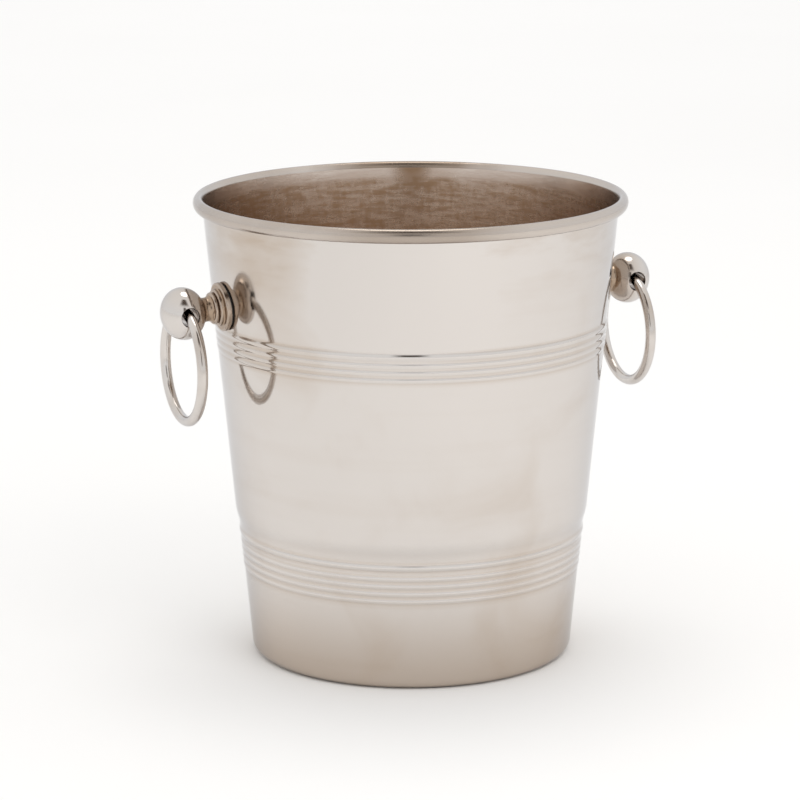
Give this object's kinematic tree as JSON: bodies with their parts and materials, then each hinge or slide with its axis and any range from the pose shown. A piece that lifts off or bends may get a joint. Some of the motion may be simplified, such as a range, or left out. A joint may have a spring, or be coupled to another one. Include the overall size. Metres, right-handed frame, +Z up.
{
  "type": "champagne bucket",
  "caption": "Tapered silver-plated champagne bucket with a rolled rim, two ribbed bands, and a ring handle swinging in a round knob on each side.",
  "frame": {"origin": "centre of the foot's underside, on the surface that the bucket stands on", "axes": "+Z up along the bucket's axis, +X through the right handle, +Y across"},
  "size_m": [0.2516, 0.2068, 0.2224],
  "materials": {
    "silver_shell": "polished",
    "silver_fittings": "polished",
    "silver_rings": "polished",
    "iron_wire": "matte",
    "rubber_seals": "matte",
    "steel_washers": "satin",
    "steel_screws": "polished"
  },
  "bodies": {
    "bucket": {"bucket_shell": "silver_shell", "rim_wire": "iron_wire", "left_knob": "silver_fittings", "left_escutcheon": "silver_fittings", "left_outer_gasket": "rubber_seals", "left_inner_seal": "rubber_seals", "left_backing_washer": "steel_washers", "left_lock_washer": "steel_washers", "left_screw": "steel_screws", "right_knob": "silver_fittings", "right_escutcheon": "silver_fittings", "right_outer_gasket": "rubber_seals", "right_inner_seal": "rubber_seals", "right_backing_washer": "steel_washers", "right_lock_washer": "steel_washers", "right_screw": "steel_screws"},
    "left_handle": {"left_ring": "silver_rings"},
    "right_handle": {"right_ring": "silver_rings"}
  },
  "joints": [
    {"name": "left_ring_swing", "type": "hinge", "parent": "bucket", "child": "left_handle", "pos_m": [-0.11525, 0, 0.17324], "axis": [0, 1, 0], "range_deg": [-25.5, 191]},
    {"name": "right_ring_swing", "type": "hinge", "parent": "bucket", "child": "right_handle", "pos_m": [0.11525, 0, 0.17324], "axis": [0, -1, 0], "range_deg": [-25.5, 191]}
  ]
}
